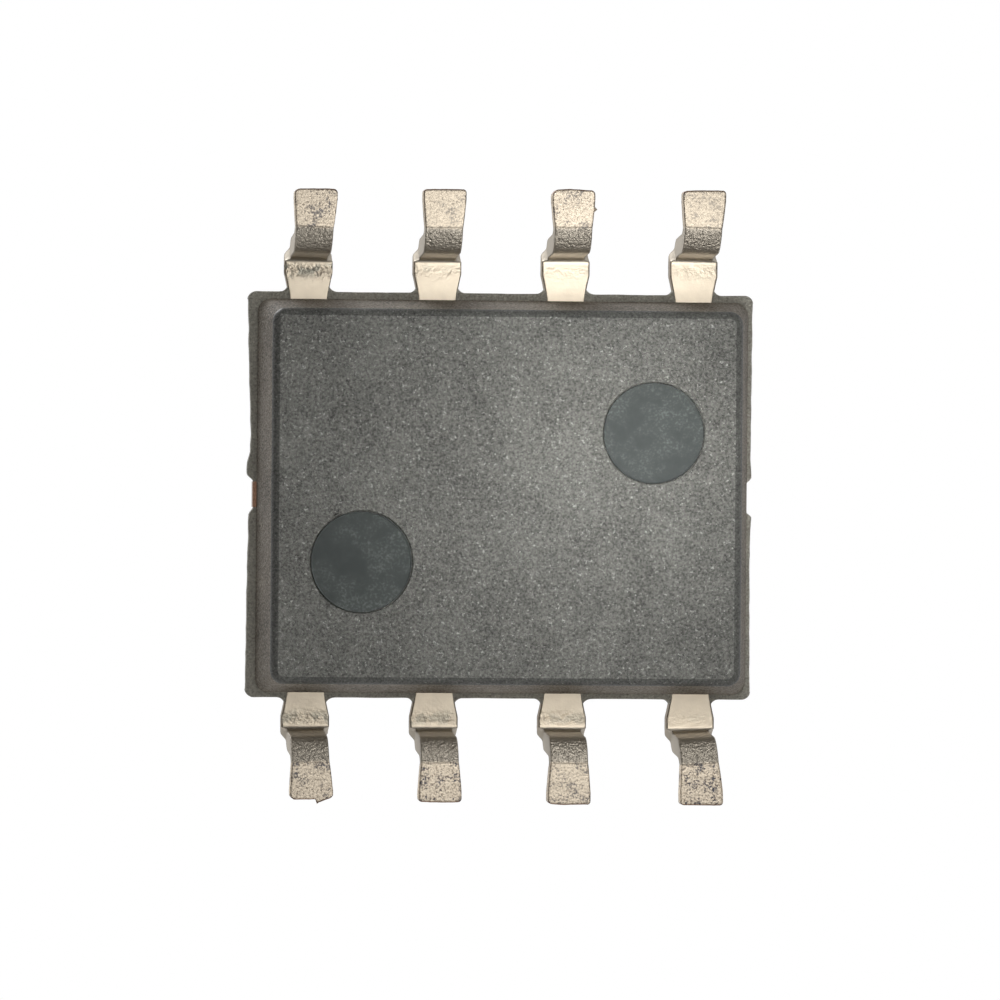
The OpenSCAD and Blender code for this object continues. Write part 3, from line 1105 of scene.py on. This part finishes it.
    def trim_toe(self, mesh: Mesh) -> None:
        """Cuts the toe to its own outline, and adds the burr and the nub that the cut left.

        Args:
            mesh: The lead's swept mesh, in metres.
        """
        points = np.empty(3 * len(mesh.vertices))
        mesh.vertices.foreach_get("co", points)
        points = points.reshape(-1, 3) / MM
        x = points[:, 0] - toe_x(self.number) - self.cut.sway
        out, up = self.side * points[:, 1], points[:, 2]
        across = x / (self.foot_w / 2)
        near = smooth_step(out, self.toe - self.cut_depth, self.toe) * (
            up < self.strip_t * self.cut_height
        )
        rough = self.cut_wander * (1 + ripple(x + toe_x(self.number), seed=31, period=self.cut_period))
        back = np.interp(across, *np.array(self.cut.outline).T) + rough
        burr = np.interp(across, *np.array(self.cut.burr).T)
        low_edge = smooth_step(-up, -self.burr_h, -self.burr_full * self.burr_h)
        out = out - near * back + low_edge * smooth_step(out, self.toe - self.burr_l, self.toe) * burr
        if self.cut.nub:
            at, height = self.cut.nub
            along, upwards = self.nub_spread
            lump = np.exp(-(((out - at) / along) ** 2) - (((up - self.nub_up) / upwards) ** 2))
            points[:, 0] += np.where(across > self.nub_from, height * lump, 0)
        points[:, 1] = self.side * np.minimum(out, self.toe)
        mesh.vertices.foreach_set("co", (points * MM).ravel())
        mesh.update()

    def build(self, sweep: "StripSweep") -> Object:
        """Makes the lead's piece, on its CAD body and in place of its CAD node.

        Args:
            sweep: The node tree that sweeps a strip along a path.

        Returns:
            The lead's piece.
        """
        path = self.path_object()
        mesh = sweep.run(
            path,
            {"Strip Width": self.foot_w * MM, "Thickness": self.strip_t * MM, "Edge Radius": self.edge_r * MM,
             "Unevenness": self.unevenness * MM, "Seed": float(self.number)},
        )
        bpy.data.objects.remove(path)
        mesh.name = f"formed_{self.node}"
        self.trim_toe(mesh)
        return stand_in(mesh, self.node, Slot.TIN_PLATE, self.smooth_deg)


class StripSweep:
    """Geometry node tree that sweeps a rounded strip along a line whose points carry its sizes."""

    # Each side of the strip's section is cut this often, and each corner is rounded in this many steps
    SIDE_CUTS = 19
    CORNER_STEPS = 4
    # Length of the rolled strip's waves and of the forming tool's marks, how deep the marks are against
    # the waves, and the stretch of the noise over which they deepen
    WAVE_MM = 0.11
    MARK_MM = 0.05
    MARK_DEPTH = 5.0
    MARK_RAMP = (0.48, 0.60)
    # Past this distance from the middle of the body the strip's end is bare
    BARE_FROM_MM = 2.97

    def __init__(self, plated: Finish, edge: Finish, bare: Finish) -> None:
        """Builds the tree.

        Args:
            plated: Finish of the strip's rolled faces.
            edge: Finish of its sheared edges.
            bare: Finish of the cut face at its toe.
        """
        self.tree = bpy.data.node_groups.new("strip_sweep", "GeometryNodeTree")
        interface = self.tree.interface
        interface.new_socket("Path", in_out="INPUT", socket_type="NodeSocketGeometry")
        for name in ("Strip Width", "Thickness", "Edge Radius", "Unevenness", "Seed"):
            interface.new_socket(name, in_out="INPUT", socket_type="NodeSocketFloat")
        interface.new_socket("Strip", in_out="OUTPUT", socket_type="NodeSocketGeometry")
        self.sockets = {item.name: item.identifier for item in interface.items_tree if item.in_out == "INPUT"}
        self.add = add = partial(add_node, self.tree)
        self.given = add("NodeGroupInput").outputs
        kinds = {"spine": "FLOAT_VECTOR", "half_width": "FLOAT", "thick": "FLOAT", Mark.DENTED.value: "FLOAT"}
        self.carried = {
            name: add("GeometryNodeInputNamedAttribute", {"Name": name}, data_type=kind)
            for name, kind in kinds.items()
        }
        self.strip = self.sweep()
        self.shape()
        self.roughen()
        self.dress(plated, edge, bare)
        add("NodeGroupOutput", {"Strip": self.strip})

    def sweep(self) -> Node:
        """Sweeps a rectangle with finely divided sides and rounded corners along the line.

        Returns:
            The node that gives the even strip.
        """
        add, given = self.add, self.given
        line = add("GeometryNodeMeshToCurve", {"Mesh": given["Path"]})
        level = add("GeometryNodeSetCurveNormal", {"Curve": line}, mode="Z_UP")
        section = add(
            "GeometryNodeCurvePrimitiveQuadrilateral",
            {"Width": given["Strip Width"], "Height": given["Thickness"]},
        )
        fine = add("GeometryNodeSubdivideCurve", {"Curve": section, "Cuts": self.SIDE_CUTS})
        # Only the rectangle's own corners are rounded, which are the first point of each cut side
        index = add("GeometryNodeInputIndex")
        place = add("Math", [index, self.SIDE_CUTS + 1.0], operation="MODULO")
        is_corner = add("Math", [place, 0.5], operation="LESS_THAN")
        radius = add("Math", [is_corner, given["Edge Radius"]], operation="MULTIPLY")
        rounded = add(
            "GeometryNodeFilletCurve",
            {"Curve": fine, "Count": self.CORNER_STEPS, "Radius": radius}, mode="POLY",
        )
        return add("GeometryNodeCurveToMesh", {"Curve": level, "Profile Curve": rounded, "Fill Caps": True})

    def shape(self) -> None:
        """Gives the strip its width and thickness at each point of the line."""
        add, spine, thick = self.add, self.carried["spine"], self.carried["thick"]
        here = add("GeometryNodeInputPosition")
        off = add("VectorMath", [here, spine], operation="SUBTRACT")
        half = add("Math", [self.given["Strip Width"], 0.5], operation="MULTIPLY")
        wide = add("Math", [self.carried["half_width"], half], operation="DIVIDE")
        scale = add("CombineXYZ", {"X": wide, "Y": thick, "Z": thick})
        placed = add("VectorMath", [off, scale, spine], operation="MULTIPLY_ADD")
        self.strip = add("GeometryNodeSetPosition", {"Geometry": self.strip, "Position": placed})

    def roughen(self) -> None:
        """Presses waves into the strip, and dents where the forming tool marked it."""
        add, given = self.add, self.given
        here = add("GeometryNodeInputPosition")
        waves, marks = (
            add(
                "TexNoise",
                {"Vector": here, "W": given["Seed"], "Scale": 1 / (size * MM), "Detail": detail},
                noise_dimensions="4D",
            )
            for size, detail in ((self.WAVE_MM, 2.0), (self.MARK_MM, 1.0))
        )
        bite = add("MapRange", [marks, *self.MARK_RAMP, 0.0, -self.MARK_DEPTH])
        # The waves only go in, because the noise stays below 1
        sunk = add("Math", [waves, 1.0], operation="SUBTRACT")
        both = add("Math", [bite, self.carried[Mark.DENTED.value], sunk], operation="MULTIPLY_ADD")
        height = add("Math", [both, given["Unevenness"]], operation="MULTIPLY")
        normal = add("GeometryNodeInputNormal")
        lift = add("VectorMath", {"Vector": normal, "Scale": height}, operation="SCALE")
        self.strip = add("GeometryNodeSetPosition", {"Geometry": self.strip, "Offset": lift})

    def dress(self, plated: Finish, edge: Finish, bare: Finish) -> None:
        """Plates the strip and its edges, and bares the cut face at its toe.

        Args:
            plated: Finish of the strip's rolled faces.
            edge: Finish of its sheared edges.
            bare: Finish of the cut face at its toe.
        """
        add = self.add
        facing, place = (
            add("SeparateXYZ", {"Vector": add("VectorMath", [vector], operation="ABSOLUTE")}).outputs
            for vector in (add("GeometryNodeInputNormal"), self.carried["spine"])
        )
        at_toe, is_end, is_side = (
            add("Math", [value, limit], operation="GREATER_THAN")
            for value, limit in ((place["Y"], self.BARE_FROM_MM * MM), (facing["Y"], 0.3), (facing["X"], 0.5))
        )
        is_cut = add("Math", [at_toe, is_end], operation="MULTIPLY")
        self.strip = add("GeometryNodeRealizeInstances", {"Geometry": self.strip})
        for chosen, finish in ((True, plated), (is_side, edge), (is_cut, bare)):
            self.strip = add(
                "GeometryNodeSetMaterial",
                {"Geometry": self.strip, "Selection": chosen, "Material": finish.material()},
            )

    def run(self, path: Object, sizes: dict[str, float]) -> Mesh:
        """Sweeps along a path and returns the plain mesh.

        Args:
            path: Object whose mesh is the line to follow.
            sizes: Value of each named input of the tree.

        Returns:
            The swept mesh.
        """
        modifier = path.modifiers.new("sweep", "NODES")
        modifier.node_group = self.tree
        for name, value in sizes.items():
            modifier[self.sockets[name]] = value
        depsgraph = bpy.context.evaluated_depsgraph_get()
        made = bpy.data.meshes.new_from_object(path.evaluated_get(depsgraph), depsgraph=depsgraph)
        path.modifiers.remove(modifier)
        for name in ("spine", "half_width", "thick"):
            made.attributes.remove(made.attributes[name])
        face_outwards(made)
        return made


@dataclass(frozen=True)
class LeadFrame:
    """All eight leads: their fingers turn towards the middle inside the body."""

    end_turn: float = 0.38
    mid_turn: float = 0.06
    cuts: tuple[ToeCut, ...] = (
        ToeCut(((-1, 0.034), (-0.7, 0.024), (0.6, 0.021), (1, 0.028)), 2.611, 0.8, 0.8, 0.04, 0.02),
        ToeCut(((-1, 0.018), (0, 0.014), (1, 0.016)), 2.615, 0.25, 0.5, sway=0.008),
        ToeCut(((-1, 0.030), (-0.75, 0.008), (-0.2, 0.0), (0.3, 0.006), (1, 0.014)), 2.630, 0.2, 0.7, 0.045,
               nub=(2.81, 0.034)),
        ToeCut(((-1, 0.008), (-0.3, 0.0), (1, 0.0)), 2.640, 0.2, 0.45, sway=0.015),
        ToeCut(((-1, 0.002), (1, 0.0)), 2.600, 0.12, 1.0, sway=0.033),
        ToeCut(((-1, 0.014), (-0.6, 0.002), (-0.2, 0.0), (0.4, 0.004), (1, 0.004)), 2.597, 0.35, 0.75),
        ToeCut(((-1, 0.024), (-0.4, 0.020), (0.4, 0.018), (1, 0.024)), 2.600, 0.45, 1.0, sway=0.006),
        ToeCut(((-1, 0.058), (-0.8, 0.042), (0.1, 0.044), (0.34, 0.046), (0.7, 0.054), (1, 0.066)), 2.600,
               0.5, 0.9, sway=0.02,
               burr=((-1, 0), (0.18, 0), (0.25, 0.046), (0.33, 0.032), (0.7, 0.010), (1, 0.0))),
    )

    def build(self) -> list[Object]:
        """Makes the eight leads.

        Returns:
            Their pieces.
        """
        # The strip's sheared edges took the tin rougher than its rolled faces, and their darker colour is
        # painted shade
        edge = MattTin("matt_tin_on_sheared_edge_painted_shade", cream="#ab9f8e", dull="#8f8374", roughness=0.62)
        sweep = StripSweep(MattTin(), edge, ShearedCopper())
        return [
            Lead(n, cut, self.end_turn if n in (1, 4, 5, 8) else self.mid_turn).build(sweep)
            for n, cut in enumerate(self.cuts, 1)
        ]


@dataclass(frozen=True)
class SealedPieces:
    """The die, its pad and adhesive, and the bond wires, which keep their CAD meshes."""

    def dress(self) -> list[Object]:
        """Gives each CAD node its finish.

        Returns:
            The nodes' pieces.
        """
        gold = GrainedSolid("drawn_gold", "#c99a3c", "#e6bb5a", 0.01, 1.0, 0.25)
        finishes: dict[str, Finish] = {
            "die_pad": ShearedCopper(),
            "die_attach": GrainedSolid("silver_epoxy", "#8d8d8c", "#b4b4b2", 0.02, 0.6, 0.5),
            "die": GrainedSolid("polished_silicon", "#3a3d48", "#4b5060", 0.2, 0.4, 0.18),
            **{f"bond_wire_{n}": gold for n in range(1, 9)},
        }
        pieces = [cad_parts[name] for name in finishes]
        for piece, finish in zip(pieces, finishes.values()):
            piece.data.materials.clear()
            piece.data.materials.append(finish.material())
        return pieces


# ---------------------------------------------------------------- studio


@dataclass(frozen=True)
class Lamp:
    """A soft square lamp that lights the chip's middle."""

    name: str
    at: tuple[float, float, float]
    side: float
    level: float

    def build(self, target: Vector) -> None:
        """Places the lamp.

        Args:
            target: Point that the lamp faces, in metres.
        """
        data = bpy.data.lights.new(self.name, "AREA")
        data.size = self.side * MM
        made = new_object(self.name, data)
        made.location = Vector(self.at) * MM
        away = target - made.location
        # At level 1 a white face turned to the lamp renders white
        data.energy = self.level * math.pi**2 * away.length_squared
        made.rotation_euler = away.to_track_quat("-Z", "Y").to_euler()
        made.visible_camera = False


@dataclass(frozen=True)
class Studio:
    """Pale floor, soft lamps above and below, white surroundings and the camera under the chip."""

    floor_half: float = 600.0
    floor_colour: str = "#f0efec"
    # The surroundings' brightness below and above the horizon, and the heights between which it changes
    below: float = 0.09
    above: float = 0.5
    horizon: tuple[float, float] = (-0.05, 0.1)
    sensor: float = 36.0
    distance: float = 75.0
    view_width: float = 9.857
    clip: tuple[float, float] = (1.0, 2000.0)
    # The camera stands to the chip's left by this angle, and is nodded and rolled by a little
    lean_deg: float = 5.0
    nod_deg: float = 0.35
    roll_deg: float = 0.46
    aim_down: float = 0.039
    target_z: float = 0.775
    lamps: tuple[Lamp, ...] = (
        Lamp("under_key", (1.1, -0.5, -2.2), 1.7, 0.50),
        Lamp("under_rim", (2.2, -0.2, -2.6), 1.6, 0.18),
        Lamp("under_wide", (1.4, -0.9, -7.0), 5.0, 0.23),
        Lamp("under_far", (4.4, 0.0, -50.0), 14.0, 0.095),
        Lamp("row_side", (0.0, -40.0, -16.0), 26.0, 0.11),
        Lamp("far_row_side", (0.0, 40.0, -22.0), 30.0, 0.19),
        Lamp("top_key", (-30.0, -40.0, 60.0), 40.0, 0.45),
    )

    def build(self) -> None:
        """Makes the floor, the lamps, the surroundings and the camera."""
        target = Vector((0, 0, self.target_z * MM))
        self.floor()
        for lamp in self.lamps:
            lamp.build(target)
        self.surroundings()
        self.camera(target)
        bpy.context.scene.view_settings.view_transform = "Standard"

    def floor(self) -> None:
        """A plane that shows from above only, so that the chip can be seen and lit from below."""
        half = self.floor_half * MM
        mesh = bpy.data.meshes.new("floor")
        mesh.from_pydata([(x, y, 0) for x, y in ((-half, -half), (half, -half), (half, half), (-half, half))],
                         [], [range(4)])
        made = new_object("floor", mesh)
        made.visible_shadow = made.visible_diffuse = made.visible_glossy = made.visible_transmission = False
        paper = bpy.data.materials.new("floor_paper")
        add = fresh_nodes(paper)
        behind = add("NewGeometry").outputs["Backfacing"]
        fibre = add("BsdfDiffuse", {"Color": linear(self.floor_colour)})
        clear = add("BsdfTransparent")
        either = add("MixShader", [behind, fibre, clear])
        add("OutputMaterial", {"Surface": either})
        mesh.materials.append(paper)

    def surroundings(self) -> None:
        """White where the camera looks and overhead, dim below the chip."""
        bpy.context.scene.world = bpy.data.worlds.new("surroundings")
        add = fresh_nodes(bpy.context.scene.world)
        direction = add("TexCoord").outputs["Generated"]
        up = add("SeparateXYZ", {"Vector": direction}).outputs["Z"]
        level = add("MapRange", [up, *self.horizon, self.below, self.above])
        rays = add("LightPath").outputs
        overhead = add("Math", [up, 0.0], operation="GREATER_THAN")
        white: Any = rays["Is Glossy Ray"]
        for also, rule in ((overhead, "MULTIPLY"), (rays["Is Camera Ray"], "MAXIMUM"),
                           (rays["Is Transmission Ray"], "MAXIMUM")):
            white = add("Math", [white, also], operation=rule)
        strength = add("Mix", {"Factor": white, "A": level, "B": 1.0})
        sky = add("Background", {"Color": linear("#ffffff"), "Strength": strength})
        add("OutputWorld", {"Surface": sky})

    def camera(self, target: Vector) -> None:
        """A long lens below the chip, a little to its left.

        Args:
            target: Point that the camera faces, in metres.
        """
        lean, nod, roll = (math.radians(a) for a in (self.lean_deg, self.nod_deg, self.roll_deg))
        back = Vector((-math.sin(lean), -math.sin(nod), -math.cos(lean) * math.cos(nod))).normalized()
        right = back.cross(Vector((0, 1, 0))).normalized()
        up = back.cross(right)
        turned_right = math.cos(roll) * right + math.sin(roll) * up
        turned_up = math.cos(roll) * up - math.sin(roll) * right
        data = bpy.data.cameras.new("camera")
        data.sensor_width = self.sensor
        data.lens = data.sensor_width * self.distance / self.view_width
        data.clip_start, data.clip_end = (reach * MM for reach in self.clip)
        made = new_object("camera", data)
        stand = target + (back * self.distance - turned_up * self.aim_down) * MM
        turn = Matrix((turned_right, turned_up, back)).transposed().to_4x4()
        made.matrix_world = Matrix.Translation(stand) @ turn
        bpy.context.scene.camera = made


def main() -> None:
    """Builds the sub-assemblies in order."""
    logging.basicConfig(level=logging.INFO, format="%(name)s: %(message)s")
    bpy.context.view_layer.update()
    report(MouldedBody().build())
    for piece in (*LeadFrame().build(), *SealedPieces().dress()):
        report(piece)
    Studio().build()


if __name__ == "__main__":
    main()
